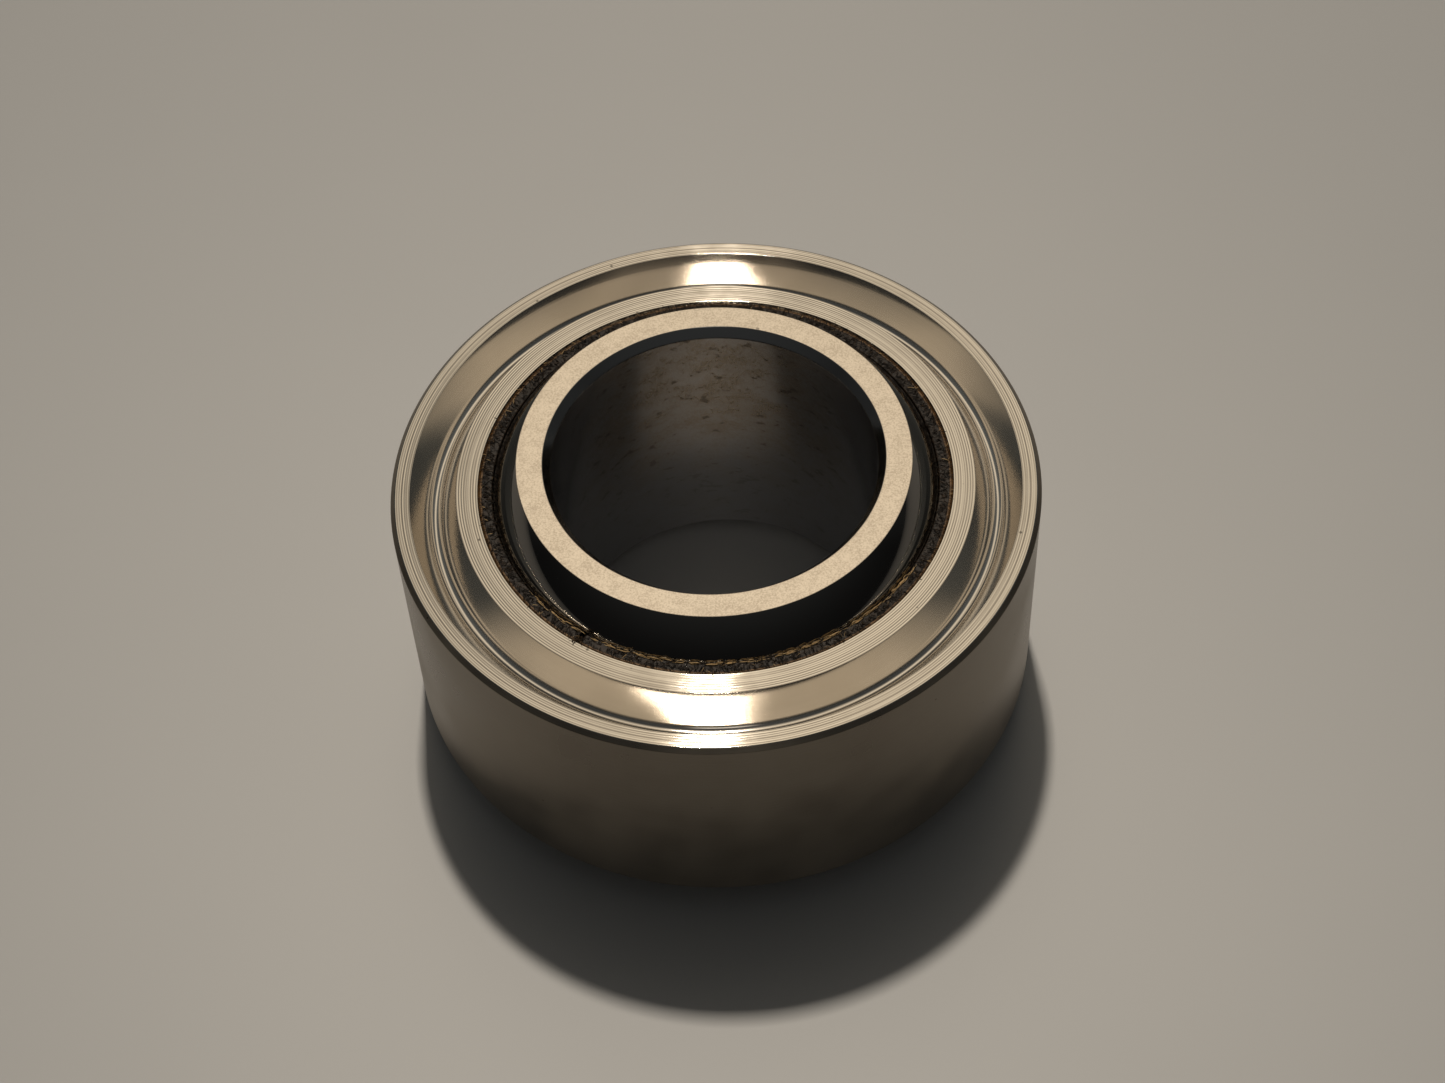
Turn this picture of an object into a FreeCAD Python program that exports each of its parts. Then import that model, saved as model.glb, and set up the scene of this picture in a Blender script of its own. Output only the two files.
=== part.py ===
import FreeCAD, Part
import math
import os

# A grooved, fabric-lined spherical plain bearing: the insert that is pressed and staked into a
# rod end's eye. A bored ball tilts and turns inside a one-piece race that was swaged round it,
# on a woven low-friction liner bonded to the race's inner sphere.
#
# Millimetres. The origin is the ball's centre, and +Z is the axis of the bore.

INCH = 25.4

# race: the outer ring
RACE_DIAMETER = 1.000 * INCH
RACE_WIDTH = 0.390 * INCH
RACE_EDGE_BREAK = 0.18
RACE_MOUTH_RADIUS = 9.29

# staking groove in each face of the race: a V of 60 degrees with a round bottom
GROOVE_INNER_RADIUS = 10.14
GROOVE_OUTER_RADIUS = 11.94
GROOVE_WALL_LEAN = math.radians(30.0)
GROOVE_BOTTOM_RADIUS = 0.30

# ball
BALL_DIAMETER = 19.90
BALL_WIDTH = 0.500 * INCH
BORE_DIAMETER = 0.500 * INCH
BORE_CHAMFER_RADIAL = 0.30
BORE_CHAMFER_AXIAL = 0.38

# liner: a strip of fabric whose two ends meet in a butt joint, and the resin that holds it
LINER_THICKNESS = 0.385
LINER_HALF_WIDTH = 4.86
LINER_JOINT_GAP = 0.20
LINER_JOINT_AZIMUTH = 236.0
BOND_THICKNESS = 0.05

# low-friction films between liner and ball, in the shallow track round the liner's middle
RUNNING_CLEARANCE = 0.015
FILM_THICKNESS = 0.05
FILM_HALF_WIDTH = 1.60
TRACK_HALF_WIDTH = 3.70

# spherical radii, from the ball outwards
BALL_RADIUS = BALL_DIAMETER / 2
TRANSFER_FILM_INSIDE = BALL_RADIUS + RUNNING_CLEARANCE
TRANSFER_FILM_OUTSIDE = TRANSFER_FILM_INSIDE + FILM_THICKNESS
RUNNING_FILM_INSIDE = TRANSFER_FILM_OUTSIDE + RUNNING_CLEARANCE
RUNNING_FILM_OUTSIDE = RUNNING_FILM_INSIDE + FILM_THICKNESS
TRACK_RADIUS = RUNNING_FILM_OUTSIDE + RUNNING_CLEARANCE
LINER_INSIDE = BALL_RADIUS + RUNNING_CLEARANCE
LINER_OUTSIDE = LINER_INSIDE + LINER_THICKNESS
RACE_SPHERE_RADIUS = LINER_OUTSIDE + BOND_THICKNESS

CENTRE = FreeCAD.Vector(0, 0, 0)
AXIS = FreeCAD.Vector(0, 0, 1)


def point(radius, height):
    """A point of the half section, which lies in the XZ plane."""
    return FreeCAD.Vector(radius, 0, height)


def radius_at(sphere_radius, height):
    """The distance from the axis to a sphere round the origin, at a height."""
    return math.sqrt(sphere_radius**2 - height**2)


def height_at(sphere_radius, radius):
    """The height at which a sphere round the origin has a distance from the axis."""
    return math.sqrt(sphere_radius**2 - radius**2)


def line(start, end):
    return Part.LineSegment(start, end).toShape()


def arc(start, middle, end):
    return Part.Arc(start, middle, end).toShape()


def sphere_arc(sphere_radius, low, high):
    """The arc of a sphere's outline between two heights."""
    middle = sphere_radius * math.sin((math.asin(low / sphere_radius) + math.asin(high / sphere_radius)) / 2)
    heights = (low, middle, high)
    return arc(*[point(radius_at(sphere_radius, height), height) for height in heights])


def below(edges):
    """The same edges, mirrored to the other side of the ball's equator."""
    return [edge.mirror(CENTRE, AXIS) for edge in edges]


def turned(edges, start=0.0, sweep=360.0):
    """The solid that a closed half section makes when it is turned round the axis."""
    section = Part.Face(Part.Wire(Part.__sortEdges__(edges)))
    section.rotate(CENTRE, AXIS, start)
    solid = section.revolve(CENTRE, AXIS, sweep)
    if solid.Volume < 0:
        solid.reverse()
    return solid


def groove(face):
    """The V in the race's upper face: two straight walls and a round bottom tangent to both."""
    inner_top = point(GROOVE_INNER_RADIUS, face)
    outer_top = point(GROOVE_OUTER_RADIUS, face)
    half_mouth = (GROOVE_OUTER_RADIUS - GROOVE_INNER_RADIUS) / 2
    apex = inner_top + point(half_mouth, -half_mouth / math.tan(GROOVE_WALL_LEAN))
    to_tangent = GROOVE_BOTTOM_RADIUS / math.tan(GROOVE_WALL_LEAN)
    to_bottom = GROOVE_BOTTOM_RADIUS / math.sin(GROOVE_WALL_LEAN) - GROOVE_BOTTOM_RADIUS
    across = math.sin(GROOVE_WALL_LEAN) * to_tangent
    up = math.cos(GROOVE_WALL_LEAN) * to_tangent
    inner_tangent = apex + point(-across, up)
    outer_tangent = apex + point(across, up)
    return [
        line(inner_top, inner_tangent),
        arc(inner_tangent, apex + point(0, to_bottom), outer_tangent),
        line(outer_tangent, outer_top),
    ]


def make_outer_race():
    """A ring with an inner sphere, a broken edge all round and a groove in each face."""
    outside = RACE_DIAMETER / 2
    face = RACE_WIDTH / 2
    lip = outside - RACE_EDGE_BREAK
    shoulder = face - RACE_EDGE_BREAK
    mouth_depth = RACE_MOUTH_RADIUS - radius_at(RACE_SPHERE_RADIUS, face)
    mouth_height = face - mouth_depth
    upper = [
        line(point(outside, shoulder), point(lip, face)),
        line(point(lip, face), point(GROOVE_OUTER_RADIUS, face)),
        *groove(face),
        line(point(GROOVE_INNER_RADIUS, face), point(RACE_MOUTH_RADIUS, face)),
        line(point(RACE_MOUTH_RADIUS, face), point(radius_at(RACE_SPHERE_RADIUS, mouth_height), mouth_height)),
    ]
    side = line(point(outside, -shoulder), point(outside, shoulder))
    inner_sphere = sphere_arc(RACE_SPHERE_RADIUS, -mouth_height, mouth_height)
    return turned([side, *upper, *below(upper), inner_sphere])


def make_shell(inside, outside, half_width):
    """A band between two spheres round the origin, cut off square at both edges."""
    edge = line(point(radius_at(inside, half_width), half_width), point(radius_at(outside, half_width), half_width))
    return turned([
        sphere_arc(inside, -half_width, half_width),
        edge,
        sphere_arc(outside, -half_width, half_width),
        *below([edge]),
    ])


def make_liner():
    """The fabric strip: thick at both edges, thinner along the track, open at the butt joint."""
    upper = [
        line(
            point(radius_at(TRACK_RADIUS, TRACK_HALF_WIDTH), TRACK_HALF_WIDTH),
            point(radius_at(LINER_INSIDE, TRACK_HALF_WIDTH), TRACK_HALF_WIDTH),
        ),
        sphere_arc(LINER_INSIDE, TRACK_HALF_WIDTH, LINER_HALF_WIDTH),
        line(
            point(radius_at(LINER_INSIDE, LINER_HALF_WIDTH), LINER_HALF_WIDTH),
            point(radius_at(LINER_OUTSIDE, LINER_HALF_WIDTH), LINER_HALF_WIDTH),
        ),
    ]
    track = sphere_arc(TRACK_RADIUS, -TRACK_HALF_WIDTH, TRACK_HALF_WIDTH)
    back = sphere_arc(LINER_OUTSIDE, -LINER_HALF_WIDTH, LINER_HALF_WIDTH)
    gap = math.degrees(LINER_JOINT_GAP / LINER_OUTSIDE)
    return turned([track, *upper, *below(upper), back], LINER_JOINT_AZIMUTH + gap / 2, 360 - gap)


def make_ball():
    """A sphere with two flat faces and a chamfered bore."""
    face = BALL_WIDTH / 2
    bore = BORE_DIAMETER / 2
    bore_top = point(bore, face - BORE_CHAMFER_AXIAL)
    chamfer_top = point(bore + BORE_CHAMFER_RADIAL, face)
    rim = point(radius_at(BALL_RADIUS, face), face)
    upper = [line(bore_top, chamfer_top), line(chamfer_top, rim)]
    wall = line(point(bore, BORE_CHAMFER_AXIAL - face), bore_top)
    return turned([wall, *upper, *below(upper), sphere_arc(BALL_RADIUS, -face, face)])


def main():
    parts = {
        "outer_race": make_outer_race(),
        "liner_bond": make_shell(LINER_OUTSIDE, RACE_SPHERE_RADIUS, LINER_HALF_WIDTH),
        "liner": make_liner(),
        "running_film": make_shell(RUNNING_FILM_INSIDE, RUNNING_FILM_OUTSIDE, FILM_HALF_WIDTH),
        "transfer_film": make_shell(TRANSFER_FILM_INSIDE, TRANSFER_FILM_OUTSIDE, FILM_HALF_WIDTH),
        "ball": make_ball(),
    }
    os.makedirs("parts", exist_ok=True)
    for name, solid in parts.items():
        solid.exportStep("parts/" + name + ".step")
        box = solid.BoundBox
        print(
            f"{name:14s} valid {solid.isValid()} solids {len(solid.Solids)} volume {solid.Volume:9.3f}"
            f" z {box.ZMin:.3f} to {box.ZMax:.3f} r {box.XMax:.3f}"
        )


main()
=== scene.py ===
import logging
import math
from dataclasses import dataclass
from enum import Enum
from typing import Callable, Optional, Sequence, Union

import bpy
import numpy as np
from mathutils import Matrix, Vector


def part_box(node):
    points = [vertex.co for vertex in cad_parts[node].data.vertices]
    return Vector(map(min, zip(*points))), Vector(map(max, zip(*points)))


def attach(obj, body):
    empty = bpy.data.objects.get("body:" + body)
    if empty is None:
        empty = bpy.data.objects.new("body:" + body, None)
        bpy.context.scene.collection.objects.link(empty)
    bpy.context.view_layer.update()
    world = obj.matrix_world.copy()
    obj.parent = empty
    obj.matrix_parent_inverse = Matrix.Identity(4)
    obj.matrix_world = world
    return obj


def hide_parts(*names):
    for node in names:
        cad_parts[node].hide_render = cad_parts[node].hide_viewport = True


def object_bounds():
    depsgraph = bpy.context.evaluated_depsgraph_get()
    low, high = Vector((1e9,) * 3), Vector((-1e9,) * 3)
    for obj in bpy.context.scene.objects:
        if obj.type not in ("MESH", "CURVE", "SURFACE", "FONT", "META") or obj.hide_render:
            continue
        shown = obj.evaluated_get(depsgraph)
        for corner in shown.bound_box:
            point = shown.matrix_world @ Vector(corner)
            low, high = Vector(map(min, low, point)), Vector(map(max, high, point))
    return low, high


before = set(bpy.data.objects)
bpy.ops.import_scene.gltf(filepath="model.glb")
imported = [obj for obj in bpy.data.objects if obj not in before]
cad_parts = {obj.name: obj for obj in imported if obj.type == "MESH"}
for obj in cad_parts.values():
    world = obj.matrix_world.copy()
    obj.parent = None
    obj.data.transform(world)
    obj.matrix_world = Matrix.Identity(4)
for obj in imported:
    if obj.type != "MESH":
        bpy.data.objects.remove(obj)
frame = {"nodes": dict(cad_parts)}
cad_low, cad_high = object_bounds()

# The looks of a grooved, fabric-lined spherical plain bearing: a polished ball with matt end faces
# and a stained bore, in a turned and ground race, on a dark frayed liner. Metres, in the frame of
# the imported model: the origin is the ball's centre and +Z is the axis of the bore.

LOG = logging.getLogger("bearing")
MM = 0.001
TURN = 2 * math.pi

Colour = tuple[float, float, float]
Socket = bpy.types.NodeSocket
Fed = Union[float, Sequence[float], Socket]


class Slot(Enum):
    """The record's material slots."""

    RACE = "race_steel"
    BALL = "ball_steel"
    LINER = "liner_fabric"


class Body(Enum):
    """The rigid bodies that pieces ride on."""

    RACE = "race"
    BALL = "ball"


class End(Enum):
    """The two ends of the bearing along its axis."""

    TOP = 1
    BOTTOM = -1


# ---------------------------------------------------------------- patterns


class Pen:
    """Draws nodes into a tree."""

    def __init__(self, tree: bpy.types.NodeTree) -> None:
        """Empties the tree and keeps hold of it.

        Args:
            tree: the node tree to draw in.
        """
        self.nodes, self.links = tree.nodes, tree.links
        self.nodes.clear()

    def feed(self, socket: Socket, value: Fed) -> None:
        """Links an output to an input, or sets the input to a plain value.

        Args:
            socket: the input.
            value: an output, a number, or the parts of a vector or colour.
        """
        if isinstance(value, bpy.types.NodeSocket):
            self.links.new(value, socket)
        elif isinstance(value, (int, float)):
            socket.default_value = value
        else:
            whole = len(socket.default_value)
            socket.default_value = (*value, 1.0)[:whole] if len(value) < whole else tuple(value)

    def math(self, operation: str, *values: Fed) -> Socket:
        """Works on numbers.

        Args:
            operation: the name of the sum, such as MULTIPLY.
            *values: what goes in.

        Returns:
            The result.
        """
        node = self.nodes.new("ShaderNodeMath")
        node.operation = operation
        for socket, value in zip(node.inputs, values):
            self.feed(socket, value)
        return node.outputs[0]

    def vector(self, operation: str, *values: Fed) -> Socket:
        """Works on vectors.

        Args:
            operation: the name of the sum, such as NORMALIZE.
            *values: what goes in.

        Returns:
            The result, a number for LENGTH and a vector for the rest.
        """
        node = self.nodes.new("ShaderNodeVectorMath")
        node.operation = operation
        inputs = (node.inputs[0], node.inputs["Scale"]) if operation == "SCALE" else node.inputs
        for socket, value in zip(inputs, values):
            self.feed(socket, value)
        return node.outputs["Value" if operation in ("LENGTH", "DOT_PRODUCT") else "Vector"]

    def split(self, place: Socket) -> tuple[Socket, Socket, Socket]:
        """Takes a vector apart.

        Args:
            place: the vector.

        Returns:
            Its three parts.
        """
        node = self.nodes.new("ShaderNodeSeparateXYZ")
        self.links.new(place, node.inputs[0])
        return tuple(node.outputs)

    def joined(self, x: Fed, y: Fed, z: Fed) -> Socket:
        """Puts a vector together.

        Args:
            x: its first part.
            y: its second part.
            z: its third part.

        Returns:
            The vector.
        """
        node = self.nodes.new("ShaderNodeCombineXYZ")
        for socket, value in zip(node.inputs, (x, y, z)):
            self.feed(socket, value)
        return node.outputs[0]

    def noise(self, place: Fed, scale: float, detail: float = 2.0, roughness: float = 0.5) -> Socket:
        """Smooth noise between 0 and 1.

        Args:
            place: where it is read.
            scale: lumps to the metre.
            detail: octaves of finer lumps.
            roughness: how strong the finer lumps are.

        Returns:
            The noise.
        """
        node = self.nodes.new("ShaderNodeTexNoise")
        self.feed(node.inputs["Vector"], place)
        node.inputs["Scale"].default_value = scale
        node.inputs["Detail"].default_value = detail
        node.inputs["Roughness"].default_value = roughness
        return node.outputs[0]

    def spots(self, place: Fed, scale: float) -> Socket:
        """The distance to the nearest of many scattered points, in cells.

        Args:
            place: where it is read.
            scale: cells to the metre.

        Returns:
            The distance.
        """
        node = self.nodes.new("ShaderNodeTexVoronoi")
        self.feed(node.inputs["Vector"], place)
        node.inputs["Scale"].default_value = scale
        node.inputs["Randomness"].default_value = 1.0
        return node.outputs["Distance"]

    def ramp(
        self, value: Socket, low: float, high: float, at_low: float = 0.0, at_high: float = 1.0
    ) -> Socket:
        """A smooth step.

        Args:
            value: what is read.
            low: where the step starts.
            high: where it ends.
            at_low: the result up to low.
            at_high: the result from high on.

        Returns:
            The result.
        """
        node = self.nodes.new("ShaderNodeMapRange")
        node.interpolation_type = "SMOOTHSTEP"
        for name, number in (("From Min", low), ("From Max", high), ("To Min", at_low), ("To Max", at_high)):
            node.inputs[name].default_value = number
        self.links.new(value, node.inputs["Value"])
        return node.outputs["Result"]

    def mix(self, share: Fed, first: Fed, second: Fed) -> Socket:
        """A colour between two others.

        Args:
            share: 0 for the first colour and 1 for the second.
            first: a colour.
            second: another colour.

        Returns:
            The mixed colour.
        """
        node = self.nodes.new("ShaderNodeMix")
        node.data_type = "RGBA"
        colours = [s for s in node.inputs if s.type == "RGBA"]
        self.feed(node.inputs["Factor"], share)
        self.feed(colours[0], first)
        self.feed(colours[1], second)
        return next(s for s in node.outputs if s.type == "RGBA")

    def bump(self, height: Socket, depth: float, under: Optional[Socket] = None) -> Socket:
        """Turns a height pattern into a surface normal.

        Args:
            height: the pattern, where 1 is a rise of depth.
            depth: the rise, in metres.
            under: the normal of a coarser bump below this one.

        Returns:
            The normal.
        """
        node = self.nodes.new("ShaderNodeBump")
        node.inputs["Strength"].default_value = 1.0
        node.inputs["Distance"].default_value = depth
        self.links.new(height, node.inputs["Height"])
        if under is not None:
            self.links.new(under, node.inputs["Normal"])
        return node.outputs[0]


class Pattern(Pen):
    """Draws the node tree of one material."""

    def __init__(self, name: str) -> None:
        """Starts a material with nothing but its shader.

        Args:
            name: the material's name.
        """
        self.material = bpy.data.materials.new(name)
        self.material.use_nodes = True
        super().__init__(self.material.node_tree)
        self.shader = self.nodes.new("ShaderNodeBsdfPrincipled")
        output = self.nodes.new("ShaderNodeOutputMaterial")
        self.links.new(self.shader.outputs["BSDF"], output.inputs["Surface"])
        self.place = self.nodes.new("ShaderNodeTexCoord").outputs["Object"]

    def around(self) -> tuple[Socket, Socket, Socket]:
        """Cylinder coordinates about the bore.

        Returns:
            The unit vector away from the axis, the radius, and the height.
        """
        x, y, z = self.split(self.place)
        flat = self.joined(x, y, 0.0)
        return self.vector("NORMALIZE", flat), self.vector("LENGTH", flat), z

    def brushed_along(self, uv_map: str, amount: float) -> None:
        """Makes the gloss wider across the marks than along them.

        Args:
            uv_map: the map whose U runs along the marks.
            amount: how much wider, from 0 to 1.
        """
        tangent = self.nodes.new("ShaderNodeTangent")
        tangent.direction_type = "UV_MAP"
        tangent.uv_map = uv_map
        self.links.new(tangent.outputs[0], self.shader.inputs["Tangent"])
        self.shader.inputs["Anisotropic"].default_value = amount
        self.shader.inputs["Anisotropic Rotation"].default_value = 0.25

    def finish(self, **inputs: Fed) -> bpy.types.Material:
        """Feeds the shader.

        Args:
            **inputs: values by the shader's input names, with _ for a space.

        Returns:
            The material.
        """
        for name, value in inputs.items():
            self.feed(self.shader.inputs[name.replace("_", " ")], value)
        return self.material


ROUND_MAP = "round"


@dataclass(frozen=True)
class TurnedSteel:
    """Steel cut on a lathe: fine rings all round, almost even in tone, and a mirror along the rings only."""

    name: str
    light: Colour
    dark: Colour
    roughness: float
    ring_pitch: float
    ring_depth: float
    brushing: float = 1.0
    chatter_depth: float = 0.0
    chatter_count: float = 42.0
    cloud_size: float = 0.9 * MM
    lines: float = 0.3
    pits: float = 0.0
    pit_size: float = 0.05
    feed: float = 0.0
    feed_patch: float = 5.0 * MM
    pit_share: float = 0.75

    def material(self) -> bpy.types.Material:
        """Rings are noise on radius and height, clouds noise in space, chatter noise round the axis.

        With a feed, the cutter's path adds sin(2 pi radius / feed), faded in and out by clouds.

        Returns:
            The material.
        """
        pen = Pattern(self.name)
        away, radius, height = pen.around()
        rings = pen.noise(pen.joined(radius, height, 0.0), 1 / self.ring_pitch, 3.0, 0.65)
        clouds = pen.noise(pen.place, 1 / self.cloud_size, 2.5, 0.5)
        if self.feed:
            wave = pen.math("SINE", pen.math("MULTIPLY", radius, TURN / self.feed))
            patches = pen.ramp(pen.noise(pen.place, 1 / self.feed_patch, 1.0), 0.40, 0.58, 0.03, 0.19)
            rings = pen.math("ADD", rings, pen.math("MULTIPLY", wave, patches))
        clouded = pen.math("MULTIPLY", clouds, 1 - self.lines)
        share = pen.math("ADD", clouded, pen.math("MULTIPLY", rings, self.lines))
        tone = pen.mix(pen.ramp(share, 0.3, 0.7), self.dark, self.light)
        normal = pen.bump(rings, self.ring_depth)
        if self.chatter_depth:
            chatter = pen.noise(away, self.chatter_count, 3.0, 0.6)
            normal = pen.bump(chatter, self.chatter_depth, normal)
        if self.pits:
            near_point = pen.spots(pen.place, 1 / self.pits)
            pit = pen.ramp(near_point, 0.6 * self.pit_size, 1.5 * self.pit_size, 1.0, 0.0)
            pit_tone = tuple(0.25 * c for c in self.dark)
            tone = pen.mix(pen.math("MULTIPLY", pit, self.pit_share), tone, pit_tone)
        rough = pen.ramp(clouds, 0.3, 0.75, self.roughness * 0.85, self.roughness * 1.2)
        pen.brushed_along(ROUND_MAP, self.brushing)
        return pen.finish(Base_Color=tone, Metallic=1.0, Roughness=rough, Normal=normal)


@dataclass(frozen=True)
class PolishedSteel:
    """Steel lapped to a mirror, with a faint haze."""

    name: str
    tone: Colour
    roughness: float
    haze_size: float = 2.5 * MM

    def material(self) -> bpy.types.Material:
        """The haze is noise in space, which moves the roughness a little.

        Returns:
            The material.
        """
        pen = Pattern(self.name)
        haze = pen.noise(pen.place, 1 / self.haze_size, 3.0)
        rough = pen.ramp(haze, 0.3, 0.8, self.roughness * 0.7, self.roughness * 1.6)
        return pen.finish(Base_Color=self.tone, Metallic=1.0, Roughness=rough)


@dataclass(frozen=True)
class EtchedSteel:
    """Fine matt steel with specks and small nicks."""

    name: str
    light: Colour
    dark: Colour
    roughness: float
    grain: float
    grain_depth: float
    blotch_size: float = 0.7 * MM
    speck_gap: float = 1.3 * MM

    def material(self) -> bpy.types.Material:
        """Grain and blotches are noise in space; specks are where scattered points are near.

        Returns:
            The material.
        """
        pen = Pattern(self.name)
        grain = pen.noise(pen.place, 1 / self.grain, 3.0, 0.7)
        blotches = pen.noise(pen.place, 1 / self.blotch_size, 3.0, 0.6)
        specks = pen.ramp(pen.spots(pen.place, 1 / self.speck_gap), 0.03, 0.07, 1.0, 0.0)
        share = pen.math("ADD", pen.math("MULTIPLY", grain, 0.75), pen.math("MULTIPLY", blotches, 0.25))
        tone = pen.mix(pen.ramp(share, 0.36, 0.60), self.dark, self.light)
        tone = pen.mix(pen.math("MULTIPLY", specks, 0.6), tone, tuple(0.3 * c for c in self.dark))
        normal = pen.bump(grain, self.grain_depth)
        normal = pen.bump(pen.math("SUBTRACT", 1.0, specks), 4 * self.grain_depth, normal)
        return pen.finish(Base_Color=tone, Metallic=1.0, Roughness=self.roughness, Normal=normal)


@dataclass(frozen=True)
class FrettedBore:
    """A honed bore with brown fretting stain, heaviest on one side."""

    name: str
    steel: Colour
    stain: Colour
    spot: Colour
    roughness: float
    stain_side: Colour
    stain_low: float = -4.0 * MM
    stain_full: float = 2.0 * MM
    grain_size: float = 0.11 * MM
    hone_depth: float = 0.25e-6

    def material(self) -> bpy.types.Material:
        """Stain is cloudy and grainy noise, stronger on one side; spots are noise drawn out sideways.

        Returns:
            The material.
        """
        pen = Pattern(self.name)
        away, radius, height = pen.around()
        side = pen.vector("DOT_PRODUCT", away, self.stain_side)
        level = pen.joined(0.0, 0.0, pen.math("MULTIPLY", height, 900.0))
        drawn = pen.vector("ADD", pen.vector("MULTIPLY", away, (3.0, 3.0, 3.0)), level)
        cloud = pen.math("MULTIPLY", pen.noise(drawn, 1.6, 5.0, 0.66), 0.6)
        grain = pen.math("MULTIPLY", pen.noise(pen.place, 1 / self.grain_size, 3.0, 0.7), 0.4)
        cloud = pen.math("ADD", cloud, grain)
        upward = pen.ramp(height, self.stain_low, self.stain_full, 0.3, 1.0)
        near = pen.math("MULTIPLY", pen.ramp(side, 0.2, 0.97, 0.1, 1.0), upward)
        share = pen.math("MULTIPLY", near, pen.ramp(cloud, 0.40, 0.60, 0.55, 1.0))
        tone = pen.mix(share, self.steel, self.stain)
        spots = pen.math("MULTIPLY", near, pen.ramp(pen.noise(drawn, 3.2, 3.0, 0.6), 0.60, 0.68))
        tone = pen.mix(pen.math("MULTIPLY", spots, 0.65), tone, self.spot)
        hone = pen.noise(pen.joined(pen.math("MULTIPLY", height, 30.0), side, 0.0), 900.0, 3.0, 0.6)
        rough = pen.math("ADD", self.roughness, pen.math("MULTIPLY", share, 0.14))
        pen.brushed_along(ROUND_MAP, 0.85)
        normal = pen.bump(hone, self.hone_depth)
        return pen.finish(Base_Color=tone, Metallic=1.0, Roughness=rough, Normal=normal)


@dataclass(frozen=True)
class Fabric:
    """Resin-filled yarn, dark, with amber ends."""

    name: str
    dark: Colour
    brown: Colour
    amber: Colour
    gloss: float = 0.25
    shade_attribute: Optional[str] = None
    cloud_size: float = 0.16 * MM
    fuzz_size: float = 0.05 * MM
    fuzz_depth: float = 8e-6

    def material(self) -> bpy.types.Material:
        """The tone is noise in space, or a fibre's own shade where the mesh carries one.

        Returns:
            The material.
        """
        pen = Pattern(self.name)
        if self.shade_attribute:
            node = pen.nodes.new("ShaderNodeAttribute")
            node.attribute_name = self.shade_attribute
            shade = node.outputs["Fac"]
        else:
            shade = pen.noise(pen.place, 1 / self.cloud_size, 4.0, 0.7)
        tone = pen.mix(pen.ramp(shade, 0.30, 0.70), self.dark, self.brown)
        tone = pen.mix(pen.ramp(shade, 0.80, 0.97), tone, self.amber)
        fuzz = pen.noise(pen.place, 1 / self.fuzz_size, 2.0)
        normal = pen.bump(fuzz, self.fuzz_depth)
        return pen.finish(Base_Color=tone, Roughness=0.5, Specular_IOR_Level=self.gloss, Normal=normal)


# ---------------------------------------------------------------- outlines


@dataclass(frozen=True)
class Stretch:
    """A run of points of an outline in the half plane beside the axis.

    points and normals are (n, 2) arrays of radius and height; normals point out of the metal.
    """

    points: np.ndarray
    normals: np.ndarray

    def mirrored(self) -> "Stretch":
        """The same stretch at the other end of the bearing, still run the same way round."""
        flip = np.array([1.0, -1.0])
        return Stretch(self.points[::-1] * flip, self.normals[::-1] * flip)


def corner(
    before: Sequence[float], at: Sequence[float], after: Sequence[float], radius: float, count: int = 5
) -> Stretch:
    """A rounded corner: the arc of a circle that touches both of the corner's sides.

    Its centre is on the line that halves the corner, at radius / sin(half angle).

    Args:
        before: a point on the side that comes in.
        at: the sharp corner.
        after: a point on the side that goes out.
        radius: the arc's radius.
        count: points on the arc.

    Returns:
        The arc, with the metal on the left of the way it runs.
    """
    before, at, after = (np.asarray(p, float) for p in (before, at, after))
    back = (before - at) / np.linalg.norm(before - at)
    ahead = (after - at) / np.linalg.norm(after - at)
    half = math.acos(float(np.clip(back @ ahead, -1, 1))) / 2
    middle = (back + ahead) / np.linalg.norm(back + ahead)
    centre = at + middle * radius / math.sin(half)
    first = at + back * radius / math.tan(half) - centre
    last = at + ahead * radius / math.tan(half) - centre
    start = math.atan2(first[1], first[0])
    sweep = (math.atan2(last[1], last[0]) - start + math.pi) % TURN - math.pi
    angles = start + np.linspace(0, sweep, count)
    spokes = np.stack([np.cos(angles), np.sin(angles)], 1)
    return Stretch(centre + spokes * radius, spokes * math.copysign(1, sweep))


def sphere(radius: float, start: float, stop: float, count: int, inside: bool = False) -> Stretch:
    """An arc of a sphere round the origin.

    Args:
        radius: the sphere's radius.
        start: the height where the arc starts.
        stop: the height where it ends.
        count: points on the arc.
        inside: whether the metal is outside the sphere.

    Returns:
        The arc, at even steps of latitude.
    """
    latitude = np.linspace(math.asin(start / radius), math.asin(stop / radius), count)
    spokes = np.stack([np.cos(latitude), np.sin(latitude)], 1)
    return Stretch(spokes * radius, -spokes if inside else spokes)


def rings(start: float, stop: float, height: float, pitch: float, depth: float, seed: int) -> Stretch:
    """The rings that a lathe tool leaves on a flat face.

    The height falls by depth * (1 - cos(2 pi k)) / 2 below the face, where k counts rings, and each
    ring has its own depth.

    Args:
        start: the radius where the face starts.
        stop: the radius where it ends.
        height: the face's height.
        pitch: the rings' width.
        depth: the deepest ring's depth.
        seed: picks the rings' depths.

    Returns:
        Four points to each ring, on an upward face.
    """
    per_ring = 4
    count = max(1, round(abs(stop - start) / pitch))
    share = np.linspace(0, count, count * per_ring + 1)[1:-1]
    own = np.random.default_rng(seed).uniform(0.35, 1.0, count)[share.astype(int)] * depth
    radius = start + (stop - start) * share / count
    fall = own * (1 - np.cos(TURN * share)) / 2
    slope = -own * np.sin(TURN * share) * math.pi * count / (stop - start)
    normals = np.stack([-slope, np.ones_like(slope)], 1)
    return Stretch(
        np.stack([radius, height - fall], 1), normals / np.linalg.norm(normals, axis=1, keepdims=True)
    )


# ---------------------------------------------------------------- meshes


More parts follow.
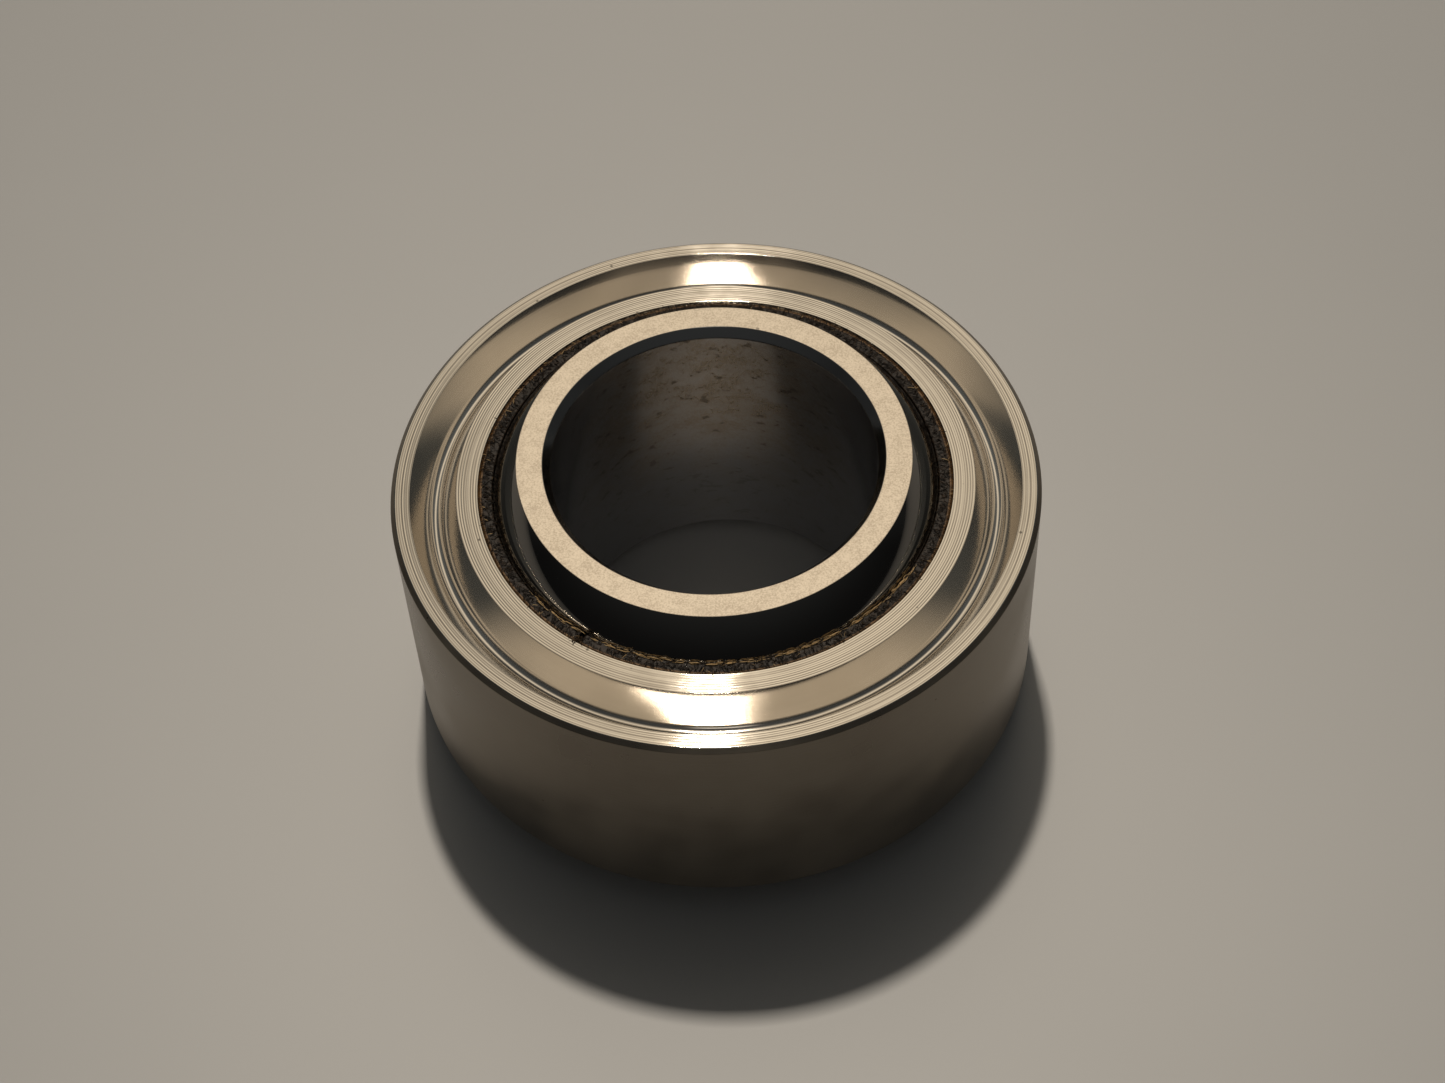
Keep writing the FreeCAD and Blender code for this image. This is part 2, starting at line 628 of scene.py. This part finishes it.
def object_from(mesh: bpy.types.Mesh) -> bpy.types.Object:
    """A new object at the origin that shows a mesh.

    Args:
        mesh: the mesh, whose name the object takes.

    Returns:
        The object.
    """
    piece = bpy.data.objects.new(mesh.name, mesh)
    bpy.context.scene.collection.objects.link(piece)
    return piece


def turned(
    name: str,
    stretches: Sequence[Stretch],
    segments: int,
    finishes: Sequence[bpy.types.Material],
    finish_of: Callable[[np.ndarray, np.ndarray], np.ndarray],
    arc: Optional[tuple[float, float]] = None,
) -> bpy.types.Object:
    """A closed outline turned round the axis, all the way or through an arc with flat ends.

    The point at azimuth a on an outline point (r, z) is (r cos a, r sin a, z), and its normal turns
    with it. The round map has U along the azimuth and V along the outline.

    Args:
        name: the piece's name.
        stretches: the outline, run with the metal on the left.
        segments: steps of azimuth.
        finishes: the piece's materials.
        finish_of: gives each span's material number from its middle's radius and height.
        arc: the first azimuth and the angle turned through, or None for a whole turn.

    Returns:
        The piece.
    """
    outline = np.concatenate([s.points for s in stretches])
    facing = np.concatenate([s.normals for s in stretches])
    spans = len(outline)
    first, sweep = arc or (0.0, TURN)
    stations = segments + 1 if arc else segments
    azimuth = first + np.arange(stations) / segments * sweep
    cos, sin = np.cos(azimuth)[:, None], np.sin(azimuth)[:, None]
    flat = np.ones_like(cos)
    places = np.stack([outline[:, 0] * cos, outline[:, 0] * sin, outline[:, 1] * flat], 2).reshape(-1, 3)
    normals = np.stack([facing[:, 0] * cos, facing[:, 0] * sin, facing[:, 1] * flat], 2).reshape(-1, 3)
    i, j = np.meshgrid(np.arange(segments), np.arange(spans), indexing="ij")
    next_i, next_j = (i + 1) % stations, (j + 1) % spans
    walls = np.stack([i * spans + j, next_i * spans + j, next_i * spans + next_j, i * spans + next_j], 2)
    walls = walls.reshape(-1, 4)
    middles = (outline + np.roll(outline, -1, axis=0)) / 2
    numbers = np.tile(finish_of(middles[:, 0], middles[:, 1]).astype(np.int32), segments)
    lengths = np.linalg.norm(np.roll(outline, -1, axis=0) - outline, axis=1)
    along = np.concatenate([[0.0], np.cumsum(lengths)]) / lengths.sum()
    u = np.stack([i, i + 1, i + 1, i], 2) / segments
    v = np.stack([along[j], along[j], along[j + 1], along[j + 1]], 2)
    uv = np.stack([u, v], 3).reshape(-1, 2)
    corner_normals = normals[walls.ravel()]
    faces = walls.tolist()
    if arc:
        rim = np.arange(spans)
        faces += [rim[::-1].tolist(), (segments * spans + rim).tolist()]
        turns = ((first, 1), (first + sweep, -1))
        ends = [np.array([math.sin(a), -math.cos(a), 0.0]) * way for a, way in turns]
        corner_normals = np.concatenate([corner_normals, *(np.tile(e, (spans, 1)) for e in ends)])
        uv = np.concatenate([uv, np.zeros((2 * spans, 2))])
        numbers = np.append(numbers, [0, 0])
    mesh = bpy.data.meshes.new(name)
    mesh.from_pydata(places, [], faces)
    uv_map = mesh.uv_layers.new(name=ROUND_MAP)
    uv_map.uv.foreach_set("vector", uv.astype(np.float32).ravel())
    mesh.polygons.foreach_set("material_index", numbers)
    mesh.shade_smooth()
    mesh.normals_split_custom_set(corner_normals)
    for finish in finishes:
        mesh.materials.append(finish)
    return object_from(mesh)


def threads(
    name: str, paths: np.ndarray, radii: np.ndarray, sides: int, shades: np.ndarray,
    finish: bpy.types.Material,
) -> bpy.types.Object:
    """Many short tubes in one mesh, closed at both ends and thinner there.

    Each ring of a tube is the centre plus radius * (cos b * across + sin b * up), where across and
    up are at right angles to the tube.

    Args:
        name: the piece's name.
        paths: (tubes, steps, 3) centre points.
        radii: (tubes,) radii.
        sides: points round each ring.
        shades: (tubes,) numbers from 0 to 1, kept as the mesh's shade.
        finish: the piece's material.

    Returns:
        The piece.
    """
    tubes, steps, _ = paths.shape
    tangents = np.gradient(paths, axis=1)
    tangents /= np.linalg.norm(tangents, axis=2, keepdims=True)
    across = np.cross(tangents, np.array([0.31, 0.42, 0.85]))
    across /= np.linalg.norm(across, axis=2, keepdims=True)
    up = np.cross(tangents, across)
    share = np.linspace(-1, 1, steps)
    taper = np.sqrt(np.clip(1 - share**6 * 0.75, 0, 1))
    angle = np.arange(sides) / sides * TURN
    spoke = across[:, :, None] * np.cos(angle)[:, None] + up[:, :, None] * np.sin(angle)[:, None]
    places = paths[:, :, None] + spoke * (radii[:, None] * taper)[:, :, None, None]
    t, s, k = np.meshgrid(np.arange(tubes), np.arange(steps - 1), np.arange(sides), indexing="ij")
    base, next_k = (t * steps + s) * sides, (k + 1) % sides
    walls = np.stack([base + k, base + next_k, base + sides + next_k, base + sides + k], 3).reshape(-1, 4)
    rim = np.arange(sides)
    starts = (np.arange(tubes) * steps * sides)[:, None]
    caps = np.concatenate([starts + rim[::-1], starts + (steps - 1) * sides + rim])
    mesh = bpy.data.meshes.new(name)
    mesh.from_pydata(places.reshape(-1, 3), [], [*walls.tolist(), *caps.tolist()])
    mesh.shade_smooth()
    shade = mesh.attributes.new("shade", "FLOAT", "POINT")
    shade.data.foreach_set("value", np.repeat(shades, steps * sides).astype(np.float32))
    mesh.materials.append(finish)
    return object_from(mesh)


def bowed(start: np.ndarray, run: np.ndarray, lift: np.ndarray, steps: int) -> np.ndarray:
    """Short bowed lines: start + t * run + 4 t (1 - t) * lift, with t from 0 to 1.

    Args:
        start: (lines, 3) first points.
        run: (lines, 3) ways from first to last point.
        lift: (lines, 3) how far the middles stand off.
        steps: points on each line.

    Returns:
        (lines, steps, 3) points.
    """
    t = np.linspace(0, 1, steps)[None, :, None]
    return start[:, None] + t * run[:, None] + 4 * t * (1 - t) * lift[:, None]


def all_alike(radius: np.ndarray, height: np.ndarray) -> np.ndarray:
    """Material number 0 everywhere."""
    return np.zeros_like(radius)


def place_piece(piece: bpy.types.Object, body: Body, slot: Slot, *nodes: str) -> None:
    """Ties a piece to the frame and logs it.

    Args:
        piece: the piece.
        body: what it moves with.
        slot: the record's slot; not used.
        *nodes: the CAD nodes it stands for.
    """
    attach(piece, body.value)
    if nodes:
        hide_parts(*nodes)
    LOG.info("%s: %d faces on %s", piece.name, len(piece.data.polygons), body.value)


# ---------------------------------------------------------------- the bearing


@dataclass
class OuterRace:
    """The outer ring, with a staking groove in each face."""

    radius: float
    half_width: float
    edge_break: float = 0.18 * MM
    lip_radius: float = 11.94 * MM
    rim_radius: float = 10.14 * MM
    mouth_radius: float = 9.29 * MM
    inner_sphere: float = 10.40 * MM
    wall_lean: float = math.radians(30)
    groove_round: float = 0.30 * MM
    ring_pitch: float = 0.118 * MM
    ring_depth: float = 0.0024 * MM
    lip_seed: int = 11
    rim_seed: int = 12
    segments: int = 576

    def face_finish(self) -> TurnedSteel:
        """The two flat rims.

        Returns:
            The finish.
        """
        return TurnedSteel(
            "race_face", (0.64, 0.595, 0.525), (0.295, 0.265, 0.23), 0.080, 0.085 * MM, 0.5e-6,
            lines=0.9, pits=1.1 * MM, feed=0.093 * MM,
        )

    def groove_finish(self) -> TurnedSteel:
        """The groove's walls.

        Returns:
            The finish.
        """
        return TurnedSteel(
            "race_groove", (0.60, 0.56, 0.508), (0.54, 0.503, 0.452), 0.078, 0.10 * MM, 1.0e-6,
            chatter_depth=0.12e-6, chatter_count=95.0, cloud_size=3.0 * MM,
        )

    def outside_finish(self) -> TurnedSteel:
        """The ground outside.

        Returns:
            The finish.
        """
        return TurnedSteel(
            "race_outside", (0.385, 0.335, 0.27), (0.28, 0.237, 0.188), 0.32, 0.05 * MM, 0.2e-6, 0.3,
            cloud_size=3.5 * MM, lines=0.4, pits=1.6 * MM, pit_size=0.025,
        )

    def upper_outline(self) -> list[Stretch]:
        """The outline from the middle of the outside, over the top face, to the inner sphere's middle.

        Returns:
            The stretches, with the metal on the left.
        """
        face = self.half_width
        shoulder = (self.radius, face - self.edge_break)
        lip = (self.radius - self.edge_break, face)
        groove_out, groove_in = (self.lip_radius, face), (self.rim_radius, face)
        mouth = (self.mouth_radius, face)
        half_mouth = (self.lip_radius - self.rim_radius) / 2
        apex = (self.rim_radius + half_mouth, face - half_mouth / math.tan(self.wall_lean))
        chamfer = self.mouth_radius - math.sqrt(self.inner_sphere**2 - face**2)
        throat = (math.sqrt(self.inner_sphere**2 - (face - chamfer) ** 2), face - chamfer)
        tiny, small = 0.02 * MM, 0.03 * MM
        cut = self.ring_pitch, self.ring_depth
        return [
            corner((self.radius, 0), shoulder, lip, small * 2),
            corner(shoulder, lip, groove_out, small * 2),
            rings(lip[0] - small * 2, groove_out[0] + small, face, *cut, self.lip_seed),
            corner(lip, groove_out, apex, tiny),
            corner(groove_out, apex, groove_in, self.groove_round, 9),
            corner(apex, groove_in, mouth, tiny),
            rings(groove_in[0] - small, mouth[0] + small, face, *cut, self.rim_seed),
            corner(groove_in, mouth, throat, tiny),
            corner(mouth, throat, (throat[0] + 0.5 * MM, 0), tiny, 3),
            sphere(self.inner_sphere, throat[1] - small, 0.4 * MM, 6, inside=True),
        ]

    def build(self) -> bpy.types.Object:
        """The race, turned from its outline and dressed by region.

        Returns:
            The piece.
        """
        upper = self.upper_outline()
        outline = [*upper, *(s.mirrored() for s in reversed(upper))]
        rim_low = self.half_width - 0.02 * MM
        mouth_low = self.half_width - 0.2 * MM
        under_groove = 3.6 * MM

        def region(radius: np.ndarray, height: np.ndarray) -> np.ndarray:
            """0 on the rims, 1 in the grooves, 2 on the outside, 3 on the inner sphere.

            Args:
                radius: the spans' radii.
                height: the spans' heights.

            Returns:
                The material numbers.
            """
            level = np.abs(height)
            in_groove = (radius > self.rim_radius) & (radius < self.lip_radius) & (level < rim_low)
            outside = radius > self.radius - 0.6 * self.edge_break
            mouth = (radius < self.mouth_radius) & (level < mouth_low)
            return np.select([outside, mouth, in_groove & (level > under_groove)], [2, 3, 1], 0)

        finishes = [
            self.face_finish().material(),
            self.groove_finish().material(),
            self.outside_finish().material(),
            PolishedSteel("race_inside", (0.40, 0.36, 0.31), 0.3).material(),
        ]
        return turned("race_ring", outline, self.segments, finishes, region)


@dataclass
class Ball:
    """The ball: a polished sphere with flat faces and a chamfered bore."""

    half_width: float
    radius: float = 9.95 * MM
    bore_radius: float = 6.35 * MM
    chamfer_across: float = 0.30 * MM
    chamfer_along: float = 0.38 * MM
    segments: int = 576

    def build(self) -> bpy.types.Object:
        """The ball, turned from its outline and dressed by region.

        Returns:
            The piece.
        """
        face, bore = self.half_width, self.bore_radius
        rim = (math.sqrt(self.radius**2 - face**2), face)
        before_rim = (rim[0] + 0.1 * MM * face / self.radius, face - 0.1 * MM * rim[0] / self.radius)
        chamfer_top = (bore + self.chamfer_across, face)
        chamfer_end = (bore, face - self.chamfer_along)
        upper = [
            sphere(self.radius, 0.1 * MM, face - 0.05 * MM, 44),
            corner(before_rim, rim, chamfer_top, 0.045 * MM),
            corner(rim, chamfer_top, chamfer_end, 0.07 * MM, 6),
            corner(chamfer_top, chamfer_end, (bore, 0), 0.12 * MM, 6),
            Stretch(np.array([[bore, 0.6 * face], [bore, 0.2 * face]]), np.array([[-1.0, 0.0]] * 2)),
        ]
        outline = [*upper, *(s.mirrored() for s in reversed(upper))]

        def region(radius: np.ndarray, height: np.ndarray) -> np.ndarray:
            """0 on the sphere, 1 on the end faces, 2 in the bore, 3 on its chamfers.

            Args:
                radius: the spans' radii.
                height: the spans' heights.

            Returns:
                The material numbers.
            """
            level = np.abs(height)
            on_face = (level > face - 0.012 * MM) & (radius > chamfer_top[0])
            in_bore = radius < bore + 0.004 * MM
            on_chamfer = radius < chamfer_top[0] + 0.03 * MM
            return np.select([on_face, in_bore, on_chamfer], [1, 2, 3], 0)

        finishes = [
            PolishedSteel("ball_sphere", (0.29, 0.273, 0.252), 0.045).material(),
            EtchedSteel(
                "ball_face", (0.585, 0.515, 0.42), (0.42, 0.36, 0.285), 0.60, 0.07 * MM, 1.8e-6
            ).material(),
            FrettedBore(
                "ball_bore", (0.52, 0.53, 0.55), (0.42, 0.345, 0.265), (0.13, 0.11, 0.09), 0.14,
                (-0.05, 0.999, 0.0),
            ).material(),
            PolishedSteel("ball_chamfer", (0.50, 0.49, 0.48), 0.10).material(),
        ]
        return turned("ball_body", outline, self.segments, finishes, region)


@dataclass
class Liner:
    """The fabric strip, its frayed edges and the tuft at its butt joint."""

    inside: float = 9.965 * MM
    outside: float = 10.350 * MM
    half_width: float = 4.86 * MM
    track_half_width: float = 3.70 * MM
    track_radius: float = 10.095 * MM
    joint: float = math.radians(236)
    joint_gap: float = 0.20 * MM
    fibres: int = 3400
    fray_radius: float = 8.72 * MM
    fray_width: float = 0.44 * MM
    fray_seed: int = 40
    # Fibres next to the ball over one sweep of azimuth are painted bright amber: a painted reflection of the
    # race's lit rim in the ball.
    reflection_share: float = 0.24
    reflection_side: float = math.radians(272)
    reflection_half_sweep: float = math.radians(56)
    tuft_fibres: int = 26
    tuft_radii: tuple[float, float] = (8.90 * MM, 9.18 * MM)
    tuft_seed: int = 7
    segments: int = 720

    def strip_outline(self) -> list[Stretch]:
        """The strip's section: thick at both edges and thinner along the track.

        Returns:
            The outline, with the fabric on the left.
        """
        edge, soft, below = self.half_width, 0.05 * MM, 0.2 * MM
        lean = 0.1 * MM
        inner = (math.sqrt(self.inside**2 - edge**2), edge)
        outer = (math.sqrt(self.outside**2 - edge**2), edge)
        upper = [
            sphere(self.outside, 0.5 * MM, edge - soft, 8),
            corner((outer[0] + lean, edge - below), outer, inner, soft, 4),
            corner(outer, inner, (inner[0] + lean, edge - below), soft, 4),
            sphere(self.inside, edge - soft, self.track_half_width, 6, inside=True),
            sphere(self.track_radius, self.track_half_width - soft, 0.5 * MM, 6, inside=True),
        ]
        return [*upper, *(s.mirrored() for s in reversed(upper))]

    def build_strip(self) -> bpy.types.Object:
        """The strip, turned from its outline as far as its two ends.

        Returns:
            The piece.
        """
        half = self.joint_gap / self.outside / 2
        weave = Fabric(
            "liner_weave", (0.010, 0.007, 0.005), (0.035, 0.021, 0.012), (0.16, 0.085, 0.035)
        ).material()
        return turned(
            "liner_strip", self.strip_outline(), self.segments, [weave], all_alike,
            (self.joint + half, TURN - 2 * half),
        )

    def build_fray(self, end: End) -> bpy.types.Object:
        """The loose fibres along one edge.

        Each fibre is a curve start + t * run + 4 t (1 - t) * lift, t from 0 to 1, pushed out to where
        it clears the ball. Fibres near the race are the lightest. On one side of the bearing the fibres
        next to the ball lie along it and are painted bright amber, a painted reflection of the race's
        lit rim in the ball.

        Args:
            end: which edge.

        Returns:
            The piece.
        """
        draw = np.random.default_rng(self.fray_seed + end.value)
        count, steps = self.fibres, 5
        gap = self.joint_gap / self.outside
        azimuth = self.joint + gap + draw.uniform(0, TURN - 2 * gap, count)
        near_race = draw.beta(1.3, 1.1, count)
        radius = self.fray_radius + self.fray_width * near_race
        height = self.half_width + (0.04 * near_race + draw.uniform(-0.01, 0.03, count)) * MM
        start = np.stack([radius * np.cos(azimuth), radius * np.sin(azimuth), height], 1)
        by_side = np.abs(azimuth % TURN - self.reflection_side) < self.reflection_half_sweep
        # Fibres next to the ball on one side: a painted reflection, laid along the edge, longer, thicker and
        # painted bright amber.
        painted_reflection = (near_race < self.reflection_share) & by_side
        heading = azimuth + draw.choice([0.5, 2.6], count) + draw.normal(0, 0.5, count)
        heading = np.where(painted_reflection, azimuth + TURN / 4, heading)
        length = draw.uniform(0.10, 0.30, count) * np.where(painted_reflection, 1.6, 1.0) * MM
        run = np.stack([np.cos(heading), np.sin(heading), draw.normal(0.0, 0.10, count)], 1) * length[:, None]
        lift = np.stack([*draw.normal(0, 0.02, (2, count)), draw.uniform(0, 0.05, count)], 1) * MM
        paths = self.held_off(bowed(start, run, lift, steps), end)
        thick = draw.uniform(0.007, 0.015, count) * np.where(painted_reflection, 1.3, 1.0) * MM
        flecks = near_race**3 * (draw.uniform(0, 1, count) > 0.86)
        # Adding the mask paints the fibres of the painted reflection fully amber.
        shades = np.clip(draw.beta(1.2, 3.0, count) + 0.7 * flecks + painted_reflection, 0, 1)
        which = end.name.lower()
        return threads("liner_fray_" + which, paths, thick, 4, shades, self.fibre_finish(which))

    def build_tuft(self) -> bpy.types.Object:
        """The yarn ends that stand out of the butt joint and lie over the race's rim.

        Returns:
            The piece.
        """
        draw = np.random.default_rng(self.tuft_seed)
        count, steps = self.tuft_fibres, 8
        azimuth = self.joint + draw.normal(0, 0.010, count)
        radius = draw.uniform(*self.tuft_radii, count)
        height = np.full(count, self.half_width + 0.01 * MM)
        start = np.stack([radius * np.cos(azimuth), radius * np.sin(azimuth), height], 1)
        heading = azimuth + draw.normal(0.25, 0.8, count)
        length = draw.uniform(0.12, 0.42, count) * MM
        toward = np.stack([np.cos(heading), np.sin(heading), draw.uniform(0.25, 0.6, count)], 1)
        run = toward * length[:, None]
        lift = np.stack([np.zeros(count), np.zeros(count), draw.uniform(0.02, 0.10, count)], 1) * MM
        paths = self.held_off(bowed(start, run, lift, steps), End.TOP)
        thick = draw.uniform(0.008, 0.016, count) * MM
        return threads("liner_tuft", paths, thick, 5, draw.beta(1.4, 1.6, count), self.fibre_finish("tuft"))

    def held_off(self, paths: np.ndarray, end: End) -> np.ndarray:
        """Paths moved straight out from the ball's centre where they come too near it, at one end.

        Args:
            paths: (tubes, steps, 3) centre points at the top end.
            end: the end that they are for.

        Returns:
            The moved points.
        """
        clear = self.inside + 0.02 * MM
        reach = np.linalg.norm(paths, axis=2, keepdims=True)
        return paths * np.maximum(1, clear / reach) * np.array([1.0, 1.0, end.value])

    def fibre_finish(self, label: str) -> bpy.types.Material:
        """Dark yarn with amber ends; the amber also paints the painted reflection next to the ball."""
        tones = (0.010, 0.007, 0.005), (0.055, 0.032, 0.016), (0.60, 0.41, 0.20)
        return Fabric("liner_fibre_" + label, *tones, shade_attribute="shade").material()


# ---------------------------------------------------------------- studio


@dataclass
class Camera:
    """The camera: how far the bore's axis leans from it, and where the bearing sits before it."""

    axis_down: float = math.radians(52.76)
    axis_side: float = math.radians(-1.92)
    right: float = -0.124 * MM
    down: float = 0.506 * MM
    ahead: float = 110.26 * MM
    lens: float = 67.9
    sensor: float = 36.0

    def build(self) -> bpy.types.Object:
        """The camera, placed so that the bearing's axis and centre are where the fields say.

        Returns:
            The camera.
        """
        axis = Vector(
            (
                math.sin(self.axis_side),
                -math.cos(self.axis_down) * math.cos(self.axis_side),
                -math.sin(self.axis_down) * math.cos(self.axis_side),
            )
        )
        across = (Vector((1, 0, 0)) - axis * axis.x).normalized()
        away = axis.cross(across)
        seen = Matrix((across, away, axis))
        centre = Vector((self.right, self.down, self.ahead))
        data = bpy.data.cameras.new("camera")
        data.lens, data.sensor_width = self.lens, self.sensor
        data.clip_start, data.clip_end = 5 * MM, 10.0
        camera = bpy.data.objects.new("camera", data)
        bpy.context.scene.collection.objects.link(camera)
        turn = (seen @ Matrix(((1, 0, 0), (0, -1, 0), (0, 0, -1)))).to_4x4()
        camera.matrix_world = Matrix.Translation(-(seen @ centre)) @ turn
        bpy.context.scene.camera = camera
        return camera


@dataclass(frozen=True)
class Glow:
    """A soft-edged bright patch of the room.

    It is centred in one direction, and reaches wide to the sides and tall up and down, as sines of
    angles.
    """

    elevation: float
    ahead: bool
    wide: float
    tall: float
    tone: Colour
    soft: float

    def draw(self, pen: Pen, toward: Socket) -> Socket:
        """The patch's light in a direction: its tone, faded where max(|across| / wide, |up| / tall) passes 1.

        Args:
            pen: the pen of the room's node tree.
            toward: the direction.

        Returns:
            The light.
        """
        sign = 1.0 if self.ahead else -1.0
        rise, run = math.sin(self.elevation), math.cos(self.elevation)
        across = pen.math("ABSOLUTE", pen.vector("DOT_PRODUCT", toward, (1 / self.wide, 0.0, 0.0)))
        upward = (0.0, -sign * rise / self.tall, run / self.tall)
        up = pen.math("ABSOLUTE", pen.vector("DOT_PRODUCT", toward, upward))
        facing = pen.ramp(pen.vector("DOT_PRODUCT", toward, (0.0, sign * run, rise)), 0.0, 0.2)
        inside = pen.ramp(pen.math("MAXIMUM", across, up), 1 - self.soft, 1 + self.soft, 1.0, 0.0)
        return pen.vector("SCALE", self.tone, pen.math("MULTIPLY", facing, inside))


@dataclass
class Studio:
    """The floor, the lamp and the room's glow."""

    floor_height: float
    floor_half: float = 1.5
    floor_tone: Colour = (0.435, 0.435, 0.438)
    floor_sheen: float = 0.42
    floor_roughness: float = 0.58
    key_elevation: float = math.radians(67.5)
    key_side: float = -0.035
    key_distance: float = 0.60
    key_size: tuple[float, float] = (0.026, 0.036)
    key_power: float = 1.65
    key_tone: Colour = (1.0, 0.90, 0.76)
    low_tone: Colour = (0.012, 0.012, 0.012)
    high_tone: Colour = (0.065, 0.068, 0.068)
    glows: tuple[Glow, ...] = (
        Glow(math.radians(57), True, 0.16, 0.31, (0.99, 0.84, 0.635), 1.0),
        Glow(math.radians(54), False, 0.11, 0.11, (1.25, 1.15, 1.0), 0.6),
        Glow(math.radians(38), True, 0.72, 0.45, (0.080, 0.086, 0.084), 0.7),
    )

    def build_floor(self) -> None:
        """A plain grey floor under the bearing, partly metallic, so that it has a soft sheen."""
        half, z = self.floor_half, self.floor_height
        mesh = bpy.data.meshes.new("floor")
        edges = ((-half, -half, z), (half, -half, z), (half, half, z), (-half, half, z))
        mesh.from_pydata(edges, [], [(0, 1, 2, 3)])
        pen = Pattern("floor_paint")
        cloud = pen.noise(pen.place, 40.0, 3.0)
        tone = pen.mix(cloud, tuple(c * 0.94 for c in self.floor_tone), self.floor_tone)
        mesh.materials.append(
            pen.finish(Base_Color=tone, Metallic=self.floor_sheen, Roughness=self.floor_roughness)
        )
        object_from(mesh)

    def build_key(self) -> None:
        """The small warm lamp behind and above the bearing."""
        data = bpy.data.lights.new("key", "AREA")
        data.shape = "RECTANGLE"
        data.size, data.size_y = self.key_size
        data.energy, data.color = self.key_power, self.key_tone
        lamp = bpy.data.objects.new("key", data)
        toward = Vector((self.key_side, math.cos(self.key_elevation), math.sin(self.key_elevation)))
        lamp.location = toward * self.key_distance
        lamp.rotation_euler = toward.to_track_quat("Z", "Y").to_euler()
        bpy.context.scene.collection.objects.link(lamp)

    def build_room(self) -> None:
        """The room's light: darkest at the horizon, with the glows added on top."""
        world = bpy.data.worlds.new("room")
        bpy.context.scene.world = world
        world.use_nodes = True
        pen = Pen(world.node_tree)
        background = pen.nodes.new("ShaderNodeBackground")
        output = pen.nodes.new("ShaderNodeOutputWorld")
        pen.links.new(background.outputs[0], output.inputs["Surface"])
        toward = pen.nodes.new("ShaderNodeTexCoord").outputs["Generated"]
        light = pen.mix(pen.ramp(pen.split(toward)[2], 0.0, 0.9), self.low_tone, self.high_tone)
        for glow in self.glows:
            light = pen.vector("ADD", light, glow.draw(pen, toward))
        pen.links.new(light, background.inputs["Color"])

    def expose(self) -> None:
        """Plain, uncompressed tones."""
        bpy.context.scene.view_settings.view_transform = "Standard"


def dress_hidden(nodes: dict[str, bpy.types.Object]) -> None:
    """Gives the CAD pieces that stay their own finishes.

    Args:
        nodes: the frame's nodes by name.
    """
    resin = Fabric("bond_resin", (0.06, 0.03, 0.012), (0.22, 0.12, 0.045), (0.45, 0.27, 0.10)).material()
    film = Fabric("ptfe_film", (0.10, 0.08, 0.06), (0.22, 0.19, 0.15), (0.35, 0.31, 0.25)).material()
    for name, finish in (("liner_bond", resin), ("running_film", film), ("transfer_film", film)):
        for index in range(len(nodes[name].material_slots)):
            nodes[name].material_slots[index].material = finish


def main() -> None:
    """Builds the bearing and its studio."""
    logging.basicConfig(level=logging.INFO, format="%(name)s: %(message)s")
    race_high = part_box("outer_race")[1]
    race = OuterRace(radius=race_high.x, half_width=race_high.z)
    place_piece(race.build(), Body.RACE, Slot.RACE, "outer_race")
    ball = Ball(half_width=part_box("ball")[1].z)
    place_piece(ball.build(), Body.BALL, Slot.BALL, "ball")
    liner = Liner()
    place_piece(liner.build_strip(), Body.RACE, Slot.LINER, "liner")
    for end in End:
        place_piece(liner.build_fray(end), Body.RACE, Slot.LINER)
    place_piece(liner.build_tuft(), Body.RACE, Slot.LINER)
    dress_hidden(frame["nodes"])
    studio = Studio(floor_height=cad_low.z)
    studio.build_floor()
    studio.build_key()
    studio.build_room()
    studio.expose()
    Camera().build()


if __name__ == "__main__":
    main()
